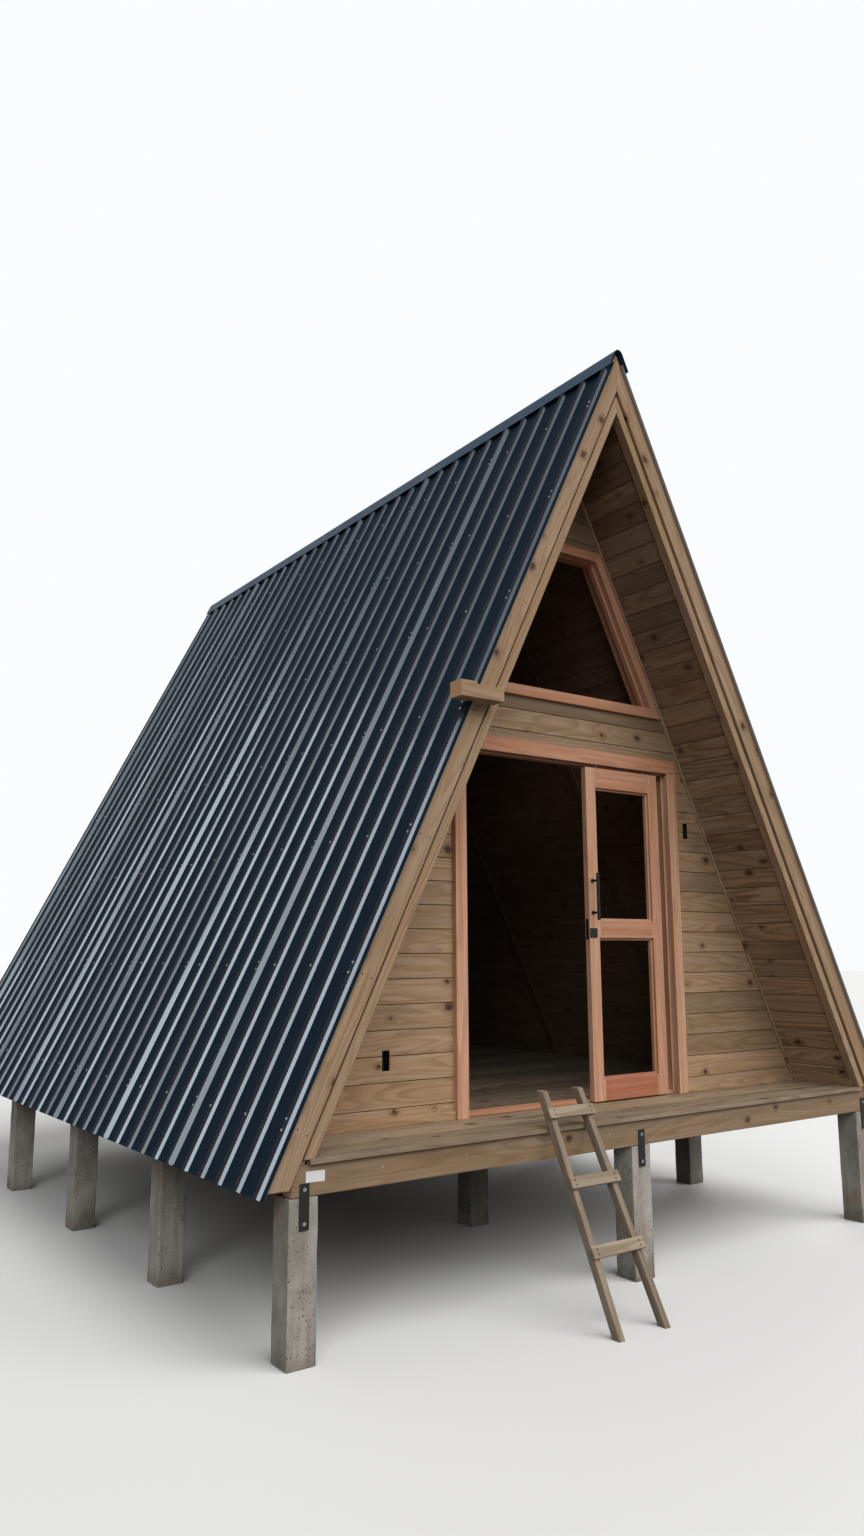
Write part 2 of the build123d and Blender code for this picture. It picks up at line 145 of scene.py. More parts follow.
def cloud(tree, vector, scale, detail=2.0, rough=0.5):
    """A soft noise. The scale says how many patches a metre holds along each direction."""
    return add(tree, "TexNoise", {"Vector": stretch(tree, vector, scale), "Scale": 1.0,
                                  "Detail": detail, "Roughness": rough}).outputs["Fac"]


def fade(tree, value, low, high, to_low=0.0, to_high=1.0):
    """A smooth step: to_low up to the low value, to_high from the high value on."""
    return add(tree, "MapRange", {"Value": value, "From Min": low, "From Max": high, "To Min": to_low,
                                  "To Max": to_high}, interpolation_type="SMOOTHSTEP").outputs[0]


def mix(tree, share, first, second):
    """The first colour with a share of the second. A share over 1 goes past the second colour."""
    made = add(tree, "Mix", {0: share}, data_type="RGBA", clamp_factor=False)
    for socket, value in ((made.inputs[6], first), (made.inputs[7], second)):
        if isinstance(value, bpy.types.NodeSocket):
            tree.links.new(value, socket)
        else:
            socket.default_value = (*value, 1.0)
    return made.outputs[2]


def raise_relief(tree, shader, height, strength, distance):
    """A fine relief that only bends the light. The shape itself stays as it is."""
    bump = add(tree, "Bump", {"Height": height, "Strength": strength, "Distance": distance})
    tree.links.new(bump.outputs[0], shader.inputs["Normal"])


# %% [markdown]
# ## Wood
#
# Every board carries its own ruler, a mesh attribute called grain: metres along the board, across its
# face and through its thickness, with a random start so that no two boards show the same piece of tree.
# Year rings are the contour lines of a noise that is stretched a long way along the grain, which gives
# the pointed arches of flat-sawn boards. Knots are scattered spots. The ring lines bend round them,
# because a real tree grows round its branches. Boards that are walked on have damp stains too, and a
# fresh saw cut shows orange on the ends.

# %% Set the sizes and colours of knots and stains
KNOT_GRID = (3.4, 4.6, 1.0)
KNOT_SPREAD = 0.205
KNOT_THRESHOLD = 0.105
LARGEST_KNOT = 0.088
KNOT_PITH = (0.035, 0.017, 0.01)
KNOT_WOOD = (0.13, 0.055, 0.025)
RESIN = (0.06, 0.03, 0.016)
DAMP_STAIN = (0.075, 0.055, 0.038)

# %% Set how fine each pattern is along, across and through a board
RING_SCALE = (0.7, 7.5, 7.5)
WOBBLE_SCALE = (5.0, 30.0, 30.0)
FIBRE_SCALE = (5.0, 210.0, 210.0)
STREAK_SCALE = (0.9, 26.0, 26.0)
PATCH_SCALE = (1.6, 3.0, 3.0)
FEATHER_SCALE = (30.0, 70.0, 70.0)
STAIN_SCALE = (1.5, 16.0, 16.0)
WOOD_RELIEF = 0.0012


# %% Make the wood material
def timber(name, pale, other, late, rings=8.0, late_share=0.5, knots=1.0, rough=0.6, cut=None, damp=0.0):
    """Sawn wood: boards vary from pale to other, late is the colour of the dark ring lines.

    Rings and knots set how many there are, cut is the colour of the sawn ends, and damp is the
    strength of the stains."""
    finish, tree, shader = new_finish(name)
    grain = add(tree, "Attribute", {}, attribute_name="grain").outputs["Vector"]
    tone = add(tree, "Attribute", {}, attribute_name="tone").outputs["Fac"]
    ends = add(tree, "Attribute", {}, attribute_name="ends").outputs["Fac"]

    spots = add(tree, "TexVoronoi", {"Vector": stretch(tree, grain, KNOT_GRID), "Scale": 1.0},
                voronoi_dimensions="2D")
    chance = add(tree, "SeparateColor", {"Color": spots.outputs["Color"]}).outputs[0]
    size = calc(tree, "SUBTRACT", calc(tree, "MULTIPLY", chance, KNOT_SPREAD * knots), KNOT_THRESHOLD)
    size = calc(tree, "MINIMUM", size, LARGEST_KNOT)
    past = calc(tree, "SUBTRACT", spots.outputs["Distance"], size)
    knot = fade(tree, past, -0.008, 0.006, 1.0, 0.0)
    halo = fade(tree, past, 0.0, 0.16, 1.0, 0.0)
    halo = calc(tree, "MULTIPLY", halo, fade(tree, size, 0.0, 0.02))

    field = calc(tree, "MULTIPLY", cloud(tree, grain, RING_SCALE, 1.4, 0.4), rings)
    wobble = calc(tree, "MULTIPLY", cloud(tree, grain, WOBBLE_SCALE), 0.22)
    field = calc(tree, "ADD", calc(tree, "ADD", field, wobble), calc(tree, "MULTIPLY", halo, 1.5))
    ring = calc(tree, "FRACT", field)
    dark = calc(tree, "MULTIPLY", fade(tree, ring, 0.25, 0.86), fade(tree, ring, 0.9, 1.0, 1.0, 0.0))

    fibre = cloud(tree, grain, FIBRE_SCALE, 3.0, 0.6)
    streak = cloud(tree, grain, STREAK_SCALE, 3.0, 0.55)
    patch = cloud(tree, grain, PATCH_SCALE)

    colour = mix(tree, tone, pale, other)
    strength = calc(tree, "MULTIPLY", fade(tree, patch, 0.3, 0.7, 0.35, 1.0), late_share)
    colour = mix(tree, calc(tree, "MULTIPLY", dark, strength), colour, late)
    level = calc(tree, "ADD", fade(tree, fibre, 0.25, 0.75, 0.9, 1.1),
                 fade(tree, streak, 0.3, 0.7, -0.09, 0.07))
    level = calc(tree, "ADD", level, fade(tree, patch, 0.3, 0.7, -0.08, 0.08))
    vividness = fade(tree, streak, 0.3, 0.7, 1.08, 0.92)
    colour = add(tree, "HueSaturation",
                 {"Color": colour, "Value": level, "Saturation": vividness}).outputs[0]

    colour = mix(tree, calc(tree, "MULTIPLY", halo, 0.42), colour, late)
    feather = calc(tree, "MULTIPLY", fade(tree, past, 0.0, 0.07, 1.0, 0.0), fade(tree, size, 0.02, 0.05))
    strokes = fade(tree, cloud(tree, grain, FEATHER_SCALE, 3.0), 0.48, 0.58)
    feather = calc(tree, "MULTIPLY", calc(tree, "MULTIPLY", feather, strokes), 0.7)
    colour = mix(tree, feather, colour, RESIN)
    knot_colour = mix(tree, fade(tree, past, -0.035, -0.012), KNOT_PITH, KNOT_WOOD)
    colour = mix(tree, calc(tree, "MULTIPLY", knot, 0.92), colour, knot_colour)
    if cut:
        colour = mix(tree, calc(tree, "MULTIPLY", ends, 0.65), colour, cut)
    if damp:
        stain = fade(tree, cloud(tree, grain, STAIN_SCALE, 4.0, 0.65), 0.52, 0.66, 0.0, damp)
        colour = mix(tree, stain, colour, DAMP_STAIN)

    tree.links.new(colour, shader.inputs["Base Color"])
    tree.links.new(fade(tree, fibre, 0.2, 0.8, rough - 0.08, rough + 0.12), shader.inputs["Roughness"])
    shader.inputs["Specular IOR Level"].default_value = 0.35
    height = calc(tree, "ADD", calc(tree, "MULTIPLY", dark, 0.35), calc(tree, "MULTIPLY", fibre, 0.5))
    height = calc(tree, "SUBTRACT", height, calc(tree, "MULTIPLY", knot, 0.4))
    raise_relief(tree, shader, height, 0.5, WOOD_RELIEF)
    return finish


# %% [markdown]
# ## The kinds of wood
#
# Most of the cabin is one treated pine. The boards of the left gable and the rake boards have more knots.
# The lining has a painted shade, the porch floor is greyer from feet and rain, the room's floor is greyer
# too and painted darker as a painted shade, the door and the window are a reddish hardwood, and the ladder
# is old wood. Each kind has a pale and a darker colour for its boards, and a third for the late wood, which
# is the dark line of each year.

# %% Choose the woods
PINE_COLOURS = (0.4, 0.258, 0.153), (0.26, 0.173, 0.102), (0.15, 0.08, 0.037)
PINE_END = (0.62, 0.32, 0.14)
PINE = timber("treated_pine", *PINE_COLOURS, rings=13.0, late_share=0.5, cut=PINE_END)
KNOTTY_PINE = timber("knotty_pine", *PINE_COLOURS, rings=13.0, late_share=0.5, knots=1.35, cut=PINE_END)
# The lining's pine: its darker colours carry the lining's painted shade.
SHADED_PINE = timber("shaded_pine", (0.4, 0.262, 0.158), (0.2, 0.128, 0.077), (0.085, 0.045, 0.023),
                     rings=9.0, late_share=0.6)
# The room's floor wood is painted darker than the porch's: a painted shade for the dark room.
ROOM_PINE_PAINTED_SHADE = timber("room_pine_painted_shade", (0.2, 0.147, 0.1), (0.12, 0.088, 0.062), (0.055, 0.037, 0.024),
                   rings=13.0, late_share=0.5, damp=0.7)
DECK_PINE = timber("walked_pine", (0.34, 0.248, 0.16), (0.25, 0.187, 0.122), (0.12, 0.078, 0.045),
                   rings=13.0, late_share=0.5, damp=0.7)
HARDWOOD = timber("red_hardwood", (0.56, 0.31, 0.19), (0.4, 0.15, 0.085), (0.27, 0.11, 0.06), rings=7.0,
                  late_share=0.35, knots=0.2, rough=0.5)
OLD_WOOD = timber("weathered_wood", (0.36, 0.28, 0.2), (0.24, 0.182, 0.128), (0.11, 0.08, 0.052), rings=9.0,
                  late_share=0.5, knots=0.8, rough=0.75)
print("made", len(bpy.data.materials), "materials so far")

# %% [markdown]
# ## Concrete
#
# The piers are cast in rough moulds: grey with cloudy patches, small air holes, rain streaks, a little
# rust from the steel inside and a dark foot where the ground splashes them. Each of these is one noise,
# stretched to the shape of its stains and mixed over the ones before.

# %% Make the concrete
CEMENT_DARK = (0.265, 0.235, 0.2)
CEMENT_PALE = (0.46, 0.42, 0.37)
RAIN_STREAK = (0.15, 0.135, 0.115)
RUST = (0.33, 0.2, 0.125)
SPLASHED_EARTH = (0.14, 0.11, 0.08)
AIR_HOLE = (0.08, 0.075, 0.07)
HOLES_PER_METRE = 55.0
MOULD_RELIEF = 0.003


def concrete(name):
    """Cast concrete, with its stains mixed one over the other."""
    finish, tree, shader = new_finish(name)
    place = add(tree, "TexCoord", {}).outputs["Object"]
    patch = cloud(tree, place, (4, 4, 3), 4.0, 0.6)
    sand = cloud(tree, place, (160, 160, 160), 3.0, 0.7)
    runs = cloud(tree, place, (26, 26, 1.6), 4.0, 0.6)
    holes = add(tree, "TexVoronoi", {"Vector": place, "Scale": HOLES_PER_METRE})
    chance = add(tree, "SeparateColor", {"Color": holes.outputs["Color"]}).outputs[0]
    pit = fade(tree, calc(tree, "SUBTRACT", holes.outputs["Distance"], calc(tree, "MULTIPLY", chance, 0.3)),
               -0.03, 0.03, 1.0, 0.0)
    pit = calc(tree, "MULTIPLY", pit, fade(tree, chance, 0.55, 0.7))
    height = add(tree, "SeparateXYZ", {"Vector": place}).outputs["Z"]
    colour = mix(tree, fade(tree, patch, 0.32, 0.68), CEMENT_DARK, CEMENT_PALE)
    colour = mix(tree, fade(tree, runs, 0.5, 0.72, 0.0, 0.45), colour, RAIN_STREAK)
    rust = fade(tree, cloud(tree, place, (6, 6, 2.4), 4.0, 0.65), 0.54, 0.68, 0.0, 0.55)
    colour = mix(tree, rust, colour, RUST)
    damp = calc(tree, "ADD", height, calc(tree, "MULTIPLY", patch, 0.22))
    colour = mix(tree, fade(tree, damp, 0.1, 0.26, 0.6, 0.0), colour, SPLASHED_EARTH)
    colour = mix(tree, calc(tree, "MULTIPLY", pit, 0.6), colour, AIR_HOLE)
    level = fade(tree, sand, 0.25, 0.75, 0.86, 1.12)
    colour = add(tree, "HueSaturation", {"Color": colour, "Value": level}).outputs[0]
    tree.links.new(colour, shader.inputs["Base Color"])
    shader.inputs["Roughness"].default_value = 0.88
    shader.inputs["Specular IOR Level"].default_value = 0.25
    relief = calc(tree, "ADD", calc(tree, "MULTIPLY", sand, 0.4), calc(tree, "MULTIPLY", patch, 0.8))
    raise_relief(tree, shader, calc(tree, "SUBTRACT", relief, pit), 0.6, MOULD_RELIEF)
    return finish


CONCRETE = concrete("cast_concrete")

# %% [markdown]
# ## Paint and bare metal
#
# Metals stay simpler. Their look is mostly gloss, so the noise goes into the roughness and the relief, and
# only a little into the colour. The roof has one navy paint in three states: dull on the flats, greyed by
# dry dust on the crests, and shining on the steep sides of the ribs, which the rain washes. No long sheet
# is quite flat, so slow waves bend those highlights, and dust dulls some of the ribs further back. The
# ridge cap's navy is painted lighter and bluer than the sheets', a painted sky reflection, and the ribs and
# the cap tint their reflections blue, also a painted sky reflection.

# %% Make the metal material
DUST_FROM = FRONT
DUST_FULL = FRONT + 2.2
COAT_ROUGHNESS = 0.15
METAL_RELIEF = 0.0006
WAVE_SCALE = (1.1, 5.5, 1.1)
DUST_SCALE = (0.3, 7.0, 0.3)


def metal(name, colour, second, rough, metallic=0.0, specular=0.5, grain=60.0, relief=0.15, wave=0.0,
          coat=0.0, gleam=(1.0, 1.0, 1.0)):
    """Painted or bare metal: two close colours in soft patches, with a lively gloss and slow waves."""
    finish, tree, shader = new_finish(name)
    place = add(tree, "TexCoord", {}).outputs["Object"]
    patch = cloud(tree, place, (2.5, 2.5, 2.5), 4.0, 0.6)
    speck = cloud(tree, place, (grain, grain, grain), 3.0, 0.6)
    tint = calc(tree, "ADD", fade(tree, patch, 0.3, 0.7, 0.0, 0.7), fade(tree, speck, 0.4, 0.8, 0.0, 0.3))
    tree.links.new(mix(tree, tint, colour, second), shader.inputs["Base Color"])
    gloss = calc(tree, "ADD", fade(tree, patch, 0.3, 0.7, rough * 0.82, rough * 1.12),
                 fade(tree, speck, 0.3, 0.8, 0.0, rough * 0.15))
    if wave:
        dust = fade(tree, cloud(tree, place, DUST_SCALE, 1.0), 0.42, 0.58, 0.0, 0.5)
        back = add(tree, "SeparateXYZ", {"Vector": place}).outputs["Y"]
        dust = calc(tree, "MULTIPLY", dust, fade(tree, back, DUST_FROM, DUST_FULL, 0.1, 1.0))
        gloss = calc(tree, "ADD", gloss, dust)
    tree.links.new(gloss, shader.inputs["Roughness"])
    shader.inputs["Metallic"].default_value = metallic
    shader.inputs["Specular IOR Level"].default_value = specular
    shader.inputs["Specular Tint"].default_value = (*gleam, 1.0)
    shader.inputs["Coat Weight"].default_value = coat
    shader.inputs["Coat Roughness"].default_value = COAT_ROUGHNESS
    waves = cloud(tree, place, WAVE_SCALE, 1.0)
    height = calc(tree, "ADD", calc(tree, "MULTIPLY", speck, relief), calc(tree, "MULTIPLY", waves, wave))
    raise_relief(tree, shader, height, 1.0, METAL_RELIEF)
    return finish


# %% Mix the paints and the bare metals
# The glossy roof paints tint their reflections blue: a painted reflection of a blue sky.
SKY_REFLECTION_TINT = (0.8, 0.91, 1.0)
ROOF_PAINT = metal("navy_roof_paint", (0.0095, 0.019, 0.031), (0.014, 0.026, 0.04), 0.6, specular=0.015,
                   grain=9.0, relief=0.05)
CREST_PAINT = metal("dusty_roof_paint", (0.028, 0.029, 0.041), (0.038, 0.039, 0.052), 0.6, specular=0.015,
                    grain=9.0, relief=0.05)
# The ridge cap's paint is lighter and bluer than the sheets': a painted reflection of the sky.
RIDGE_PAINT_SKY_REFLECTION = metal("ridge_roof_paint_painted_reflection", (0.03, 0.06, 0.1), (0.038, 0.072, 0.118), 0.45, specular=0.06,
                    grain=9.0, relief=0.05, gleam=SKY_REFLECTION_TINT)
RIB_PAINT = metal("washed_roof_paint", (0.017, 0.028, 0.042), (0.024, 0.038, 0.054), 0.17, specular=1.0,
                  grain=9.0, relief=0.05, wave=36.0, coat=0.5, gleam=SKY_REFLECTION_TINT)
ROOF_BACK = metal("sheet_back_coat", (0.42, 0.43, 0.43), (0.34, 0.35, 0.36), 0.55)
CUT_EDGE = metal("bare_cut_edge", (0.72, 0.72, 0.7), (0.5, 0.5, 0.48), 0.35, metallic=0.8)
BLACK_STEEL = metal("black_steel", (0.008, 0.008, 0.009), (0.017, 0.017, 0.017), 0.5, specular=0.25,
                    grain=140.0)
ZINC = metal("zinc_screws", (0.4, 0.41, 0.42), (0.28, 0.29, 0.3), 0.45, metallic=0.9, grain=300.0)
TRACK_METAL = metal("track_metal", (0.3, 0.3, 0.31), (0.2, 0.2, 0.21), 0.35, metallic=0.9, grain=200.0)
PAPER = metal("plain_tag", (0.8, 0.8, 0.79), (0.7, 0.7, 0.69), 0.7, grain=40.0)
print("made", len(bpy.data.materials), "materials")

# %% [markdown]
# ## Helpers for timber
#
# A frame solid arrives as loose triangles. Welding them and dissolving the flat edges gives whole faces
# again, which can be cut and bevelled. Sawn timber never has a knife edge, and the thin bright line that a
# small bevel catches is most of what makes a board look real.

# %% Weld, cut and ease
dice = random.Random(7)
WELD = 0.00002
FLAT = math.radians(0.5)
SHARP = 0.4


def welded(node):
    """A frame solid's mesh with its triangles joined back into whole faces."""
    mesh = bmesh.new()
    mesh.from_mesh(nodes[node].data)
    bmesh.ops.remove_doubles(mesh, verts=mesh.verts, dist=WELD)
    bmesh.ops.dissolve_limit(mesh, angle_limit=FLAT, verts=mesh.verts, edges=mesh.edges)
    return mesh


def ease(mesh, size, segments=1):
    """Round or chamfer every sharp edge by the given size."""
    sharp = [e for e in mesh.edges if len(e.link_faces) == 2 and e.calc_face_angle(0) > SHARP]
    bmesh.ops.bevel(mesh, geom=sharp, offset=size, offset_type="OFFSET", segments=segments,
                    profile=0.5, affect="EDGES", clamp_overlap=True, material=-1)


def saw(mesh, point, normal):
    """Cut the mesh with a plane, drop the side that the normal points to and close the cut."""
    everything = mesh.verts[:] + mesh.edges[:] + mesh.faces[:]
    bmesh.ops.bisect_plane(mesh, geom=everything, plane_co=point, plane_no=normal, clear_outer=True)
    rim = [e for e in mesh.edges if e.is_boundary]
    if rim:
        bmesh.ops.holes_fill(mesh, edges=rim)


def join(target, piece):
    """Move one mesh into another."""
    data = bpy.data.meshes.new("passing")
    piece.to_mesh(data)
    piece.free()
    target.from_mesh(data)
    bpy.data.meshes.remove(data)


def corners_of(group):
    """The low and the high corner of some faces, as one list to sort by."""
    points = [v.co for face in group for v in face.verts]
    return [round(end(p[axis] for p in points), 4) for end in (min, max) for axis in range(3)]


def islands(mesh):
    """The groups of faces that hang together, in a fixed order."""
    left = set(mesh.faces)
    found = []
    while left:
        group = [left.pop()]
        for face in group:
            for edge in face.edges:
                for other in edge.link_faces:
                    if other in left:
                        left.discard(other)
                        group.append(other)
        found.append(group)
    return sorted(found, key=corners_of)


def solids(node):
    """The corner points of each separate solid of a node."""
    mesh = welded(node)
    found = [[v.co.copy() for v in {v for face in group for v in face.verts}] for group in islands(mesh)]
    mesh.free()
    return found


def reach(points, way):
    """How far the points reach along a direction: the least and the greatest reading."""
    readings = [point.dot(way) for point in points]
    return min(readings), max(readings)


# %% [markdown]
# ## The ruler on every board
#
# For each separate board the longest edge tells which way it was sawn, and its largest face tells which
# side is the wide one, unless the caller knows better. From these come the three readings of the ruler, a
# tone for the whole board, and a mark on the sawn ends, which are a fresher orange than the weathered
# faces. The tone goes from 0, the pale colour of the wood, to 1, the darker one, and a little past it for
# the darkest boards. It is drawn by lot, taken from a list, or worked out from the place of the board.

# %% Write the grain on a mesh
SIDE_FACE = 0.3
SAWN_END = 0.8
TREE_SIZE = 60


def tone_of(index, middle, tones):
    """The tone of one board, by lot, from a list or from its place."""
    if callable(tones):
        return tones(middle)
    return tones[index % len(tones)] if tones else dice.random()


def give_grain(mesh, along=None, tones=None, facing=None):
    """Write the ruler, the tone and the mark on the ends for every board of the mesh."""
    rulers = mesh.loops.layers.float_vector.new("grain")
    tone_layer = mesh.faces.layers.float.new("tone")
    ends_layer = mesh.faces.layers.float.new("ends")
    for index, group in enumerate(islands(mesh)):
        edges = {edge for face in group for edge in face.edges}
        longest = max(edges, key=lambda e: e.calc_length())
        a = along or (longest.verts[1].co - longest.verts[0].co).normalized()
        sides = [f for f in group if abs(f.normal.dot(a)) < SIDE_FACE]
        wide = facing or max(sides, key=lambda f: f.calc_area()).normal
        b = wide.cross(a).normalized()
        c = a.cross(b)
        middle = sum((f.calc_center_median() for f in group), Vector()) / len(group)
        start = Vector([dice.uniform(0, TREE_SIZE) for _ in range(3)])
        tone = tone_of(index, middle, tones)
        for face in group:
            face[tone_layer] = tone
            face[ends_layer] = 1.0 if abs(face.normal.dot(a)) > SAWN_END else 0.0
            for loop in face.loops:
                way = loop.vert.co - middle
                loop[rulers] = Vector((way.dot(a), way.dot(b), way.dot(c))) + start


def publish(name, mesh, finishes, body="cabin", stands_for=()):
    """Turn the mesh into an object that rides on a body and stands for some frame solids."""
    data = bpy.data.meshes.new(name)
    mesh.to_mesh(data)
    mesh.free()
    for finish in finishes if isinstance(finishes, (list, tuple)) else [finishes]:
        data.materials.append(finish)
    piece = bpy.data.objects.new(name, data)
    bpy.context.scene.collection.objects.link(piece)
    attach(piece, body)
    if stands_for:
        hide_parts(*stands_for)
    return piece


def dress(node, finish, size, segments=2, body="cabin", tones=None):
    """A frame solid again, with eased edges and its own grain."""
    mesh = welded(node)
    ease(mesh, size, segments)
    give_grain(mesh, tones=tones)
    return publish(node + "_dressed", mesh, finish, body, [node])


# %% [markdown]
# ## Tongue and groove boards
#
# The gable walls, the roof lining and the floors are laid from boards 133 mm wide that lock into each
# other. The frame has them as plain slabs, so the slab is sawn into boards. Between two boards stays a
# narrow gap, and a thin tongue set back from both faces closes it, so the joint is a dark line and no
# light comes through.

# %% Saw a slab into boards
BOARD_PITCH = 0.1333
NARROWEST_BOARD = 0.012
BOARD_CHAMFER = 0.0022
JOINT_GAP = 0.0036
TONGUE_REACH = 0.005
TONGUE_SHARE = 0.45


def boards(node, stack, first, through, along, chamfer=BOARD_CHAMFER, butts=(), tones=None, gap=JOINT_GAP):
    """Saw the node's slab across the stack direction, with the first joint at the given place."""
    slab = welded(node)
    places = [v.co.dot(stack) for v in slab.verts]
    low = min(places)
    high = max(places)
    joint = first + math.ceil((low + NARROWEST_BOARD - first) / BOARD_PITCH) * BOARD_PITCH
    joints = []
    while joint < high - NARROWEST_BOARD:
        joints.append(joint)
        joint += BOARD_PITCH
    result = bmesh.new()
    spans = zip([low - 1] + joints, joints + [high + 1])
    half = gap / 2
    ways = [v.co.dot(along) for v in slab.verts]
    stops = [min(ways) - 1, *butts, max(ways) + 1]
    for lower, upper in spans:
        for start, stop in zip(stops, stops[1:]):
            board = slab.copy()
            saw(board, stack * (upper - half), stack)
            saw(board, stack * (lower + half), -stack)
            saw(board, along * (stop - half / 2), along)
            saw(board, along * (start + half / 2), -along)
            if board.faces:
                ease(board, chamfer)
                join(result, board)
    depths = [v.co.dot(through) for v in slab.verts]
    middle = (min(depths) + max(depths)) / 2
    squeeze = Matrix.Scale(TONGUE_SHARE, 4, through)
    for joint in joints:
        tongue = slab.copy()
        saw(tongue, stack * (joint + TONGUE_REACH), stack)
        saw(tongue, stack * (joint - TONGUE_REACH), -stack)
        bmesh.ops.transform(tongue, matrix=squeeze, space=Matrix.Translation(-through * middle),
                            verts=tongue.verts)
        join(result, tongue)
    slab.free()
    give_grain(result, along, tones, through)
    return result


# %% [markdown]
# ## Gable walls
#
# The boards of the front gable run level and line up across the doorway, so all its panels are sawn at
# the same heights. The first joint is 90 mm above the floor boards. On the left the boards are pale and
# full of knots. Over the door and in the top of the gable they are the darker ones.

# %% Board the gables
FLOOR_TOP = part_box("room_floor")[1][2]
FIRST_JOINT = FLOOR_TOP + 0.0905
GABLE_TONES = {"front_wall_left": [0.0, 0.2, 0.1, 0.3, 0.0], "front_wall_apex": [1.4, 1.7, 1.2],
               "front_wall_over_door": [0.9, 1.0, 0.7, 1.0, 1.6], "window_side_studs": [1.4]}
for node in ("front_wall_left", "front_wall_right", "front_wall_over_door", "front_wall_apex",
             "window_side_studs", "back_wall"):
    mesh = boards(node, Z, FIRST_JOINT, Y, X, tones=GABLE_TONES.get(node))
    print(node, "has", len(islands(mesh)), "boards and tongues")
    finish = KNOTTY_PINE if node == "front_wall_left" else PINE
    publish(node + "_boards", mesh, finish, stands_for=[node])

# %% [markdown]
# ## Roof lining
#
# The lining is both the soffit of the porch and the ceiling of the room. Its boards run along the
# ridge and are stacked down the slope. Inside, they are butted end to end under the cover strips. The
# boards carry a painted shade: the higher a board sits, the darker its tone, and the boards of the room
# are darker still. Their joints are wider and their edges rounder than those of the walls. The boards
# of the porch end inside the gable wall, where their joint is hidden.

# %% Board the lining
LINING_CHAMFER = 0.0032
LINING_GAP = 0.006
LINING_FIRST_JOINT = 0.1
# Painted shade on the lining: the tone rises from the foot to the ridge and is darkest inside the room.
LOW_TONE = 0.1
RISE_OF_PAINTED_SHADE = 1.05
SPREAD_OF_TONE = 0.35
ROOM_PAINTED_SHADE = 1.3
WALL_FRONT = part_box("front_wall_left")[0][1]
butts = [WALL_FRONT + 0.03] + sorted({round(sum(reach(s, Y)) / 2, 3) for s in solids("cover_strips")})


def painted_shade_tone(middle):
    """The tone of a lining board, a painted shade: the higher and the further inside it is, the darker."""
    if middle.y >= WALL_FRONT:
        return ROOM_PAINTED_SHADE
    climb = (middle.z - FLOOR_TOP) / (APEX - FLOOR_TOP)
    return max(0.0, LOW_TONE + RISE_OF_PAINTED_SHADE * climb + dice.uniform(-SPREAD_OF_TONE, SPREAD_OF_TONE))


for side in ("left", "right"):
    first = RIDGE.dot(DOWN[side]) + LINING_FIRST_JOINT
    mesh = boards("lining_" + side, DOWN[side], first, OUT[side], Y, LINING_CHAMFER, butts, painted_shade_tone,
                  LINING_GAP)
    print("lining on the", side, "has", len(mesh.faces), "faces")
    publish("lining_boards_" + side, mesh, SHADED_PINE, stands_for=["lining_" + side])

# %% [markdown]
# ## Floors
#
# Porch and room share one floor of boards that run from side to side. The porch's first board is flush
# with the rake boards. The room's floor is painted a darker wood, a painted shade for the dark room.

# %% Board the floors
FIRST_FLOOR_JOINT = FRONT + 0.004 + BOARD_PITCH
FLOOR_CHAMFER = 0.002
FLOOR_TONES = [0.9, 0.3, 1.0, 0.6, 0.1]
for node, finish in (("porch_deck", DECK_PINE), ("room_floor", ROOM_PINE_PAINTED_SHADE)):
    mesh = boards(node, Y, FIRST_FLOOR_JOINT, Z, X, FLOOR_CHAMFER, tones=FLOOR_TONES)
    publish(node + "_boards", mesh, finish, stands_for=[node])

# %% [markdown]
# ## Framing timber
#
# Beams, joists, rafters, battens, rake boards and trims are single sticks. They keep the shape of the
# frame and get eased edges and their own grain. The front beam, the rake boards and the trims show
# most, so they get the rounder edge. The hidden ones get a plain chamfer.

# %% Dress the sticks
SMALL_EDGE = 0.002
USUAL_EDGE = 0.003
ROUND_EDGE = 0.004
for node in ("floor_joists", "rafters_left", "rafters_right", "battens_left", "battens_right"):
    dress(node, PINE, SMALL_EDGE, 1)
dress("floor_beams", PINE, ROUND_EDGE, tones=[0.95])
for node in ("front_barge_left", "front_barge_right", "front_trim_left", "front_trim_right",
             "back_barge_left", "back_barge_right", "corner_trim_left", "corner_trim_right",
             "cross_block"):
    finish = KNOTTY_PINE if node.startswith("front_barge") else PINE
    dress(node, finish, USUAL_EDGE, tones=[0.4, 0.3, 0.7])
# The cover strips inside the room get a tone past the darkest shaded pine: a painted shade.
dress("cover_strips", SHADED_PINE, USUAL_EDGE, tones=[1.5])
dress("skirting", PINE, USUAL_EDGE, tones=[0.0])
dress("ladder_stiles", OLD_WOOD, ROUND_EDGE, tones=[0.75, 1.0])
dress("ladder_rungs", OLD_WOOD, ROUND_EDGE, tones=[0.1, 0.4, 0.2])

# %% [markdown]
# ## Door frame, window frame and leaf
#
# The frames are a reddish hardwood, planed and sanded. The leaf's stiles, the uprights, are yellower than
# its rails, and the bottom rail is the reddest piece. The window frame is one ring in the frame, so it
# is sawn along the mitres of its corners to let the grain turn with each member.

# %% Dress the frames and the leaf
JAMB_EDGE = 0.0025
for node, tone in (("door_head", 0.5), ("door_jamb_left", 0.15), ("door_jamb_right", 0.0),
                   ("door_sill", 0.4)):
    dress(node, HARDWOOD, JAMB_EDGE, tones=[tone])
dress("leaf_stiles", HARDWOOD, SMALL_EDGE, body="door_leaf", tones=[0.1, 0.3])
dress("leaf_rails", HARDWOOD, SMALL_EDGE, body="door_leaf", tones=[1.0, 0.45, 0.4])

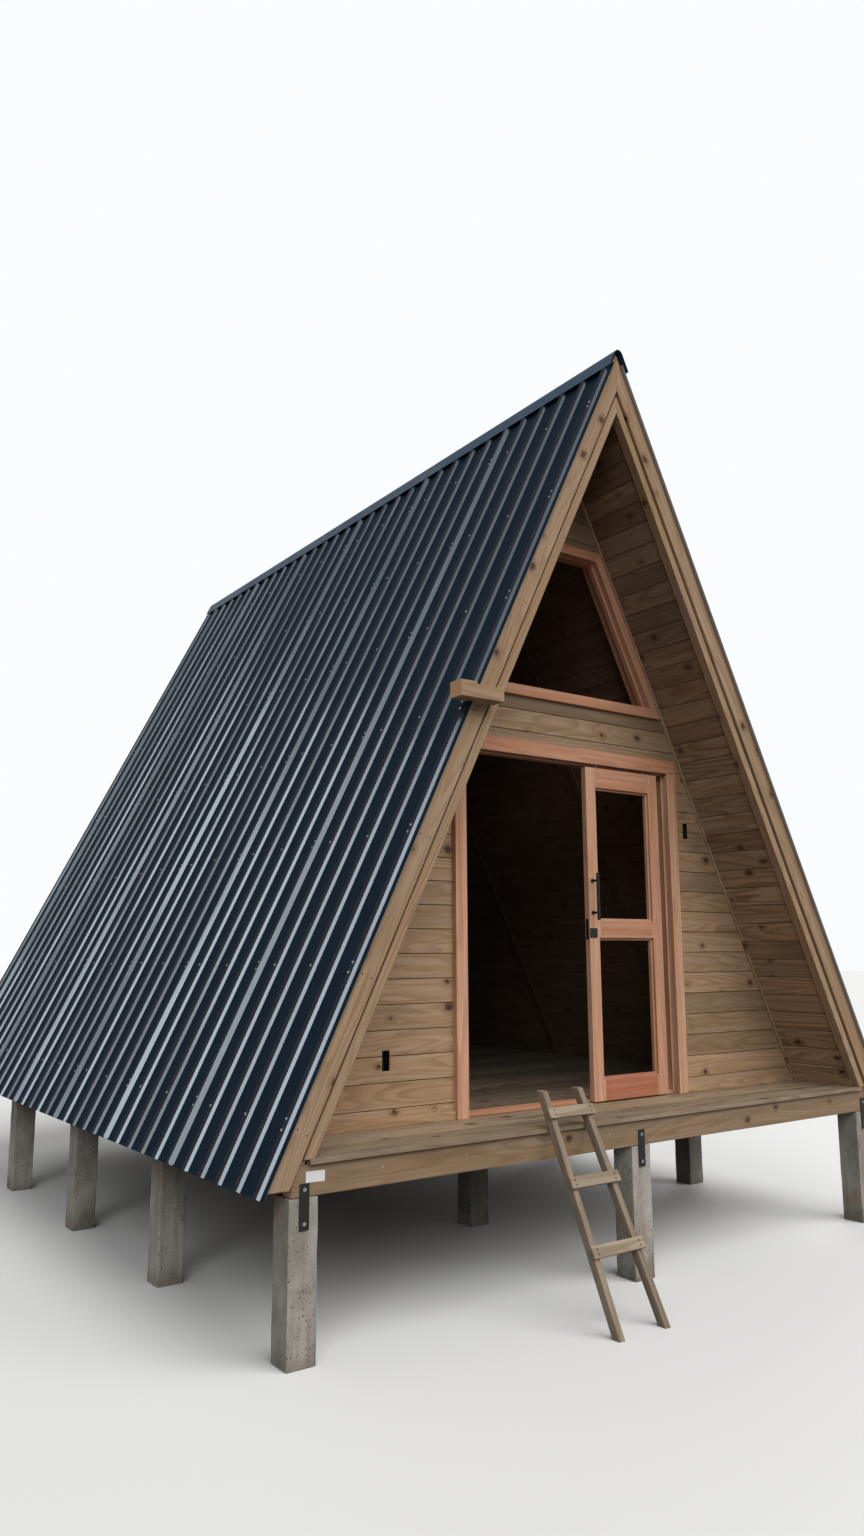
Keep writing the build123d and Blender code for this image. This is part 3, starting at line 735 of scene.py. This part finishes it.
# %% Mitre the window frame
low, high = [Vector(corner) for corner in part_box("window_frame")]
rise = high.z - low.z
top_x = high.x - rise * run / drop
corners = [Vector((-high.x, 0, low.z)), Vector((high.x, 0, low.z)), Vector((top_x, 0, high.z)),
           Vector((-top_x, 0, high.z))]
ring = welded("window_frame")
window = bmesh.new()
for index, corner in enumerate(corners):
    following = corners[(index + 1) % 4]
    before = corners[index - 1]
    after = corners[(index + 2) % 4]
    side_way = (following - corner).normalized()
    member = ring.copy()
    for place, other, way in ((corner, before, side_way), (following, after, -side_way)):
        bisector = (way + (other - place).normalized()).normalized()
        outward = Vector((-bisector.z, 0, bisector.x))
        if outward.dot(way) > 0:
            outward = -outward
        saw(member, place, outward)
    ease(member, SMALL_EDGE, 2)
    join(window, member)
ring.free()
give_grain(window, tones=[0.5, 0.35, 0.6, 0.4])
publish("window_frame_members", window, HARDWOOD, stands_for=["window_frame"])

# %% [markdown]
# ## Piers
#
# The piers are cast concrete posts. Their arrises are worn and their faces are not quite flat, so each
# one is cut into short lengths and every point is pushed in or out by a millimetre or two of noise.

# %% Roughen the piers
PIER_SLICE = 0.04
PIER_ARRIS = 0.009
BROAD_WEAR = 0.0022
FINE_WEAR = 0.0014
LEAST_WEAR = 0.0018
FOOT = 0.005
for node in ("piers_left", "piers_middle", "piers_right"):
    mesh = welded(node)
    ease(mesh, PIER_ARRIS, 3)
    height = PIER_SLICE
    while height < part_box(node)[1][2] - 0.01:
        bmesh.ops.bisect_plane(mesh, geom=mesh.verts[:] + mesh.edges[:] + mesh.faces[:],
                               plane_co=Z * height, plane_no=Z)
        height += PIER_SLICE
    mesh.normal_update()
    for vert in mesh.verts:
        wear = noise.noise(vert.co * 9) * BROAD_WEAR + noise.noise(vert.co * 40) * FINE_WEAR
        vert.co -= vert.normal * (LEAST_WEAR + wear) * (1 if vert.co.z > FOOT else 0)
    print(node, "has", len(mesh.verts), "points")
    publish(node + "_cast", mesh, CONCRETE, stands_for=[node])

# %% [markdown]
# ## Straps and their bolts
#
# A flat steel bar holds each outer beam to its pier, with one bolt into the beam and one into the pier.

# %% Add screws and bolts as one helper
def head(mesh, place, way, radius, height, sides, share=0.75):
    """A small round or six-sided head that stands on a surface."""
    turn = way.to_track_quat("Z", "Y").to_matrix().to_4x4()
    matrix = Matrix.Translation(place + way * height / 2) @ turn
    bmesh.ops.create_cone(mesh, cap_ends=True, segments=sides, radius1=radius, radius2=radius * share,
                          depth=height, matrix=matrix)


def washer_and_hexagon(mesh, place, way, washer, hexagon, sides, taper):
    """A round washer with a six-sided head on it. Both are given as radius and height."""
    head(mesh, place, way, *washer, sides, taper)
    head(mesh, place + way * washer[1], way, *hexagon, 6, HEXAGON_TAPER)


# %% Bolt the straps
HEXAGON_TAPER = 0.95
BOLT_WASHER_TAPER = 0.95
STRAP_EDGE = 0.0008
BOLT_BELOW_TOP = 0.025
BOLT_OVER_END = 0.027
BOLT_WASHER = (0.009, 0.0012)
BOLT_HEAD = (0.0055, 0.004)
dress("pier_straps", BLACK_STEEL, STRAP_EDGE, 1)
bolts = bmesh.new()
for points in solids("pier_straps"):
    x = sum(reach(points, X)) / 2
    way = -Y if points[0].y < 0 else Y
    face = reach(points, way)[1] * way.y
    bottom, top = reach(points, Z)
    for z in (top - BOLT_BELOW_TOP, bottom + BOLT_OVER_END):
        washer_and_hexagon(bolts, Vector((x, face, z)), way, BOLT_WASHER, BOLT_HEAD, 16, BOLT_WASHER_TAPER)
publish("strap_bolts", bolts, ZINC)

# %% [markdown]
# ## Roof sheets
#
# The sheets are folded from one thin coil, so every bend has a small radius that draws a bright line
# down the roof. The upper side is painted navy, the underside has a pale back coat, and the cut end at
# the eave is bare metal. Each face gets its finish from the way it faces and from its height over the pan.

# %% Fold the roof sheets
SHEET_FINISHES = [ROOF_PAINT, ROOF_BACK, CUT_EDGE, RIB_PAINT, CREST_PAINT]
BEND_RADIUS = 0.0065
SOFTEST_BEND = 0.2
HARDEST_BEND = 1.4
STEEP = 0.72
CREST_DEPTH = 0.006
sheet_ribs = {}
for side in ("left", "right"):
    node = "roof_sheet_" + side
    mesh = welded(node)
    down = DOWN[side]
    out = OUT[side]
    top = max(v.co.dot(out) for v in mesh.verts) - 0.0005
    crest = sorted({round(v.co.y, 4) for v in mesh.verts if v.co.dot(out) > top})
    sheet_ribs[side] = [(a + b) / 2 for a, b in zip(crest[::2], crest[1::2])]
    bends = []
    for edge in mesh.edges:
        way = edge.verts[1].co - edge.verts[0].co
        bent = len(edge.link_faces) == 2 and SOFTEST_BEND < edge.calc_face_angle(0) < HARDEST_BEND
        if bent and way.length > 1:
            bends.append(edge)
    bmesh.ops.bevel(mesh, geom=bends, offset=BEND_RADIUS, offset_type="OFFSET", segments=2, profile=0.5,
                    affect="EDGES", clamp_overlap=True, material=-1)
    mesh.normal_update()
    for face in mesh.faces:
        if abs(face.normal.dot(down)) > 0.9:
            finish = CUT_EDGE
        elif face.normal.dot(out) < -0.1:
            finish = ROOF_BACK
        elif abs(face.normal.y) > STEEP:
            finish = RIB_PAINT
        elif face.calc_center_median().dot(out) > top - CREST_DEPTH:
            finish = CREST_PAINT
        else:
            finish = ROOF_PAINT
        face.material_index = SHEET_FINISHES.index(finish)
    publish("folded_sheet_" + side, mesh, SHEET_FINISHES, stands_for=[node])
print("each side has", len(sheet_ribs["left"]), "ribs")

# %% [markdown]
# ## Side laps and screws
#
# One sheet is five ribs wide. Its last rib lies over the first rib of the next sheet, which shows as a
# second thin edge beside every fifth rib. Self-drilling screws with a washer go through the ribs into
# each batten: two at a lap, and one on every second rib between. A lap is drawn as a profile over one
# rib, from its free edge to the pan behind it, and pulled down the whole slope.

# %% Screw the sheets down and lap them
LAP_EVERY = 5
RIB_TOP = 0.026
SCREW_WASHER = (0.0065, 0.0012)
SCREW_WASHER_TAPER = 0.9
SCREW_HEAD = (0.0036, 0.0035)
LAP_SCREWS = (-0.02, 0.022)
SLIP_DOWN = 0.006
SLIP_ASIDE = 0.003
LAP_PROFILE = [(-0.045, 0.0012), (-0.0335, 0.0014), (-0.0152, 0.0268), (0.0152, 0.0268),
               (0.0325, 0.0028), (0.041, 0.0026)]
LAP_FINISHES = [ROOF_PAINT, RIB_PAINT, CREST_PAINT]
LAP_BELOW_TOP = 0.002
LAP_SHORTER = 0.008
LAP_CREST = 0.02
screws = bmesh.new()
laps = bmesh.new()
for side in ("left", "right"):
    down = DOWN[side]
    out = OUT[side]
    zero = RIDGE.dot(down)
    rows = [sum(reach(batten, down)) / 2 - zero for batten in solids("battens_" + side)]
    sheet_high, sheet_low = [reading - zero for reading in reach(solids("roof_sheet_" + side)[0], down)]
    for index, y in enumerate(sheet_ribs[side]):
        lap = index % LAP_EVERY == 0
        if not lap and (index % LAP_EVERY) % 2:
            continue
        for row in rows:
            for step in (LAP_SCREWS if lap else (0.0,)):
                slip = dice.uniform(-SLIP_DOWN, SLIP_DOWN)
                place = RIDGE + down * (row + step + slip) + out * RIB_TOP
                place.y = y + dice.uniform(-SLIP_ASIDE, SLIP_ASIDE)
                washer_and_hexagon(screws, place, out, SCREW_WASHER, SCREW_HEAD, 12, SCREW_WASHER_TAPER)
    for y in sheet_ribs[side][LAP_EVERY:-1:LAP_EVERY]:
        upper_end = RIDGE + down * (sheet_high + LAP_BELOW_TOP)
        start = [laps.verts.new(upper_end + out * rise + Y * (y + aside)) for aside, rise in LAP_PROFILE]
        rim = [laps.edges.new(pair) for pair in zip(start, start[1:])]
        grown = bmesh.ops.extrude_edge_only(laps, edges=rim)["geom"]
        bmesh.ops.translate(laps, vec=down * (sheet_low - sheet_high - LAP_SHORTER),
                            verts=[g for g in grown if isinstance(g, bmesh.types.BMVert)])
bmesh.ops.recalc_face_normals(laps, faces=laps.faces)
for face in laps.faces:
    middle = face.calc_center_median()
    over_sheet = max(abs(middle.dot(OUT[side])) for side in OUT) - RIDGE.dot(OUT["left"])
    finish = CREST_PAINT if over_sheet > LAP_CREST else ROOF_PAINT
    face.material_index = LAP_FINISHES.index(RIB_PAINT if abs(face.normal.y) > STEEP else finish)
print("made", len(islands(laps)), "laps, and", len(screws.verts), "points of screws")
publish("roof_screws", screws, ZINC)
publish("side_laps", laps, LAP_FINISHES)

# %% [markdown]
# ## Finishes for solids that are right as they are
#
# The ridge cap, the pull, the lock, the track and the hangers already have their real shape in the
# frame. They only change their material.

# %% Paint the metal parts
for node, finish in (("ridge_cap", RIDGE_PAINT_SKY_REFLECTION), ("leaf_pull", BLACK_STEEL), ("leaf_lock", BLACK_STEEL),
                     ("door_track", TRACK_METAL), ("leaf_hangers", TRACK_METAL)):
    nodes[node].data.materials.clear()
    nodes[node].data.materials.append(finish)

# %% [markdown]
# ## Wall boxes
#
# Two slots in the gable boards wait for a lamp and a switch. Each one holds a thin black box that is
# open to the front. The box is found from the slot itself, whose bottom is the face that looks forward
# from inside the wall.

# %% Set a black box in each slot
BOX_WALL = 0.002
BOX_SET_BACK = 0.003
BOX_PLAY = 0.001
boxes = bmesh.new()
for node in ("front_wall_left", "front_wall_right"):
    wall = welded(node)
    front_face = min(v.co.y for v in wall.verts)
    bottoms = [f for f in wall.faces if f.normal.y < -0.9 and f.calc_center_median().y > front_face + 0.01]
    slot = [v.co.copy() for v in bottoms[0].verts]
    wall.free()
    low, high = [Vector((end(p.x for p in slot), 0, end(p.z for p in slot))) for end in (min, max)]
    depth = slot[0].y - front_face - BOX_SET_BACK - BOX_PLAY
    before = set(boxes.faces)
    middle = Vector(((low.x + high.x) / 2, front_face + BOX_SET_BACK + depth / 2, (low.z + high.z) / 2))
    size = Matrix.Diagonal((high.x - low.x - BOX_PLAY, depth, high.z - low.z - BOX_PLAY, 1))
    bmesh.ops.create_cube(boxes, size=1, matrix=Matrix.Translation(middle) @ size)
    lid = [f for f in boxes.faces if f not in before and f.calc_center_median().y < middle.y - depth * 0.4]
    bmesh.ops.inset_region(boxes, faces=lid, thickness=BOX_WALL, use_even_offset=True)
    bmesh.ops.translate(boxes, vec=Y * (depth - BOX_WALL), verts=[v for f in lid for v in f.verts])
bmesh.ops.recalc_face_normals(boxes, faces=boxes.faces)
print("the wall boxes have", len(boxes.faces), "faces")
publish("wall_boxes", boxes, BLACK_STEEL)

# %% [markdown]
# ## Nails
#
# Bright nail heads show on the front beam about every half metre. Older, darker ones hold the rungs of
# the ladder, two in both ends, and the rake boards, a pair at every batten.

# %% Nail the front beam
NAIL_SIDES = 10
BEAM_NAIL = (0.005, 0.0012)
BEAM_NAIL_HEIGHT = 0.08
FIRST_NAIL = -1.704
NAIL_SPACING = 0.4885
nails = bmesh.new()
beam_low, beam_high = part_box("floor_beams")
x = FIRST_NAIL
while x < beam_high[0]:
    place = Vector((x, beam_low[1], beam_low[2] + BEAM_NAIL_HEIGHT))
    head(nails, place, -Y, *BEAM_NAIL, NAIL_SIDES)
    x += NAIL_SPACING
print("the beam has", len(islands(nails)), "nails")
publish("beam_nails", nails, ZINC)

# %% Nail the rungs and the rake boards
RUNG_NAIL = (0.0045, 0.001)
RUNG_NAIL_INSET = 0.032
BARGE_NAIL = (0.004, 0.0006)
BARGE_NAIL_DOWN = 0.028
BARGE_NAIL_UP = 0.026
nails = bmesh.new()
for points in solids("ladder_rungs"):
    front = min(points, key=lambda p: (round(p.y, 4), p.z))
    upper = min((p for p in points if p.z > front.z + 0.03), key=lambda p: (round(p.y, 4), -p.z))
    up = Vector((0, upper.y - front.y, upper.z - front.z))
    out = Vector((0, -up.z, up.y)).normalized()
    low_x, high_x = reach(points, X)
    for x in (low_x + RUNG_NAIL_INSET, high_x - RUNG_NAIL_INSET):
        for share in (0.3, 0.7):
            place = Vector((x + dice.uniform(-0.004, 0.004), front.y, front.z)) + up * share
            head(nails, place, out, *RUNG_NAIL, NAIL_SIDES)

BARGE_DEPTH = reach(solids("front_barge_right")[0], -OUT["right"])[1] + RIDGE.dot(OUT["right"])
for side in ("left", "right"):
    for batten in solids("battens_" + side):
        middle = sum(reach(batten, DOWN[side])) / 2 - RIDGE.dot(DOWN[side])
        for depth in (BARGE_NAIL_DOWN, BARGE_DEPTH - BARGE_NAIL_UP):
            place = RIDGE + DOWN[side] * (middle + dice.uniform(-0.01, 0.01)) - OUT[side] * depth
            place.y = FRONT
            head(nails, place, -Y, *BARGE_NAIL, NAIL_SIDES)
print("the rungs and the rake boards have", len(islands(nails)), "nails")
publish("dark_nails", nails, BLACK_STEEL)

# %% [markdown]
# ## A tag
#
# A plain white tag is stapled to the left end of the front beam, a little crooked.

# %% Hang the tag
TAG_SIZE = (0.096, 0.0008, 0.047)
tag = bmesh.new()
tag_place = Matrix.Translation(Vector((-2.06, beam_low[1] - 0.0005, beam_low[2] + 0.081)))
tilt = Matrix.Rotation(math.radians(1.5), 4, "Y")
bmesh.ops.create_cube(tag, size=1, matrix=tag_place @ tilt @ Matrix.Diagonal((*TAG_SIZE, 1)))
publish("bare_tag", tag, PAPER)

# %% [markdown]
# ## Floor and light
#
# The cabin stands on a plain pale floor under soft light. A sky that is brighter overhead fills the
# shadows, and three wide suns stand for the bright parts of an overcast sky: the main one high over the
# front, a weaker one from the front left that draws the ribs of the roof, and one for the back. Only the
# one from the front left shows in reflections. The main one would lay a broad glare over the whole roof.
#
# The camera and the mirror-like finishes see a paler floor and sky than the light that lands on the
# cabin comes from, so that the picture has a pale ground and the porch still has its dark corners.

# %% Make the floor
def seen_directly(tree):
    """One where a ray comes from the camera, a reflection or a pane, and nought where it only lights."""
    rays = add(tree, "LightPath", {})
    return calc(tree, "MAXIMUM", rays.outputs["Is Camera Ray"],
                calc(tree, "MAXIMUM", rays.outputs["Is Glossy Ray"], rays.outputs["Is Transmission Ray"]))


FLOOR_LIGHTING = (0.1, 0.095, 0.09)
FLOOR_SEEN = (0.78, 0.77, 0.75)
floor_mesh = bmesh.new()
bmesh.ops.create_grid(floor_mesh, x_segments=1, y_segments=1, size=80)
floor_data = bpy.data.meshes.new("studio_floor")
floor_mesh.to_mesh(floor_data)
floor_mesh.free()
floor = bpy.data.objects.new("studio_floor", floor_data)
bpy.context.scene.collection.objects.link(floor)
FLOOR_FINISH, tree, shader = new_finish("pale_floor")
floor_colour = mix(tree, seen_directly(tree), FLOOR_LIGHTING, FLOOR_SEEN)
tree.links.new(floor_colour, shader.inputs["Base Color"])
shader.inputs["Roughness"].default_value = 0.9
shader.inputs["Specular IOR Level"].default_value = 0.1
floor_data.materials.append(FLOOR_FINISH)

# %% Light the studio
SKY_LOW = 0.13
SKY_HIGH = 0.5
SUNS = (("sun_over_front", 2.2, 60, (1.0, 1.0, 1.0), (0.22, -0.65, 0.73)),
        ("sun_front_left", 0.9, 30, (0.95, 0.98, 1.0), (-0.56, -0.68, 0.47)),
        ("sun_back_right", 1.0, 30, (1.0, 1.0, 1.0), (0.75, 0.55, 0.37)))
GLOSSY_SUN = "sun_front_left"
world = bpy.data.worlds.new("studio")
bpy.context.scene.world = world
world.use_nodes = True
tree = world.node_tree
height = add(tree, "SeparateXYZ", {"Vector": add(tree, "TexCoord", {}).outputs["Generated"]}).outputs["Z"]
sky = fade(tree, height, 0.0, 0.9, SKY_LOW, SKY_HIGH)
strength = add(tree, "Mix", {0: seen_directly(tree), 2: sky, 3: 1.0}, data_type="FLOAT").outputs[0]
tree.nodes["Background"].inputs["Color"].default_value = (0.96, 0.98, 1.0, 1)
tree.links.new(strength, tree.nodes["Background"].inputs["Strength"])

for name, energy, wide, colour, towards in SUNS:
    sun_data = bpy.data.lights.new(name, "SUN")
    sun_data.energy = energy
    sun_data.color = colour
    sun_data.angle = math.radians(wide)
    sun = bpy.data.objects.new(name, sun_data)
    sun.visible_glossy = name == GLOSSY_SUN
    sun.rotation_euler = Vector(towards).to_track_quat("Z", "Y").to_euler()
    bpy.context.scene.collection.objects.link(sun)
bpy.context.scene.view_settings.view_transform = "Standard"
print("the studio has", len(SUNS), "suns")
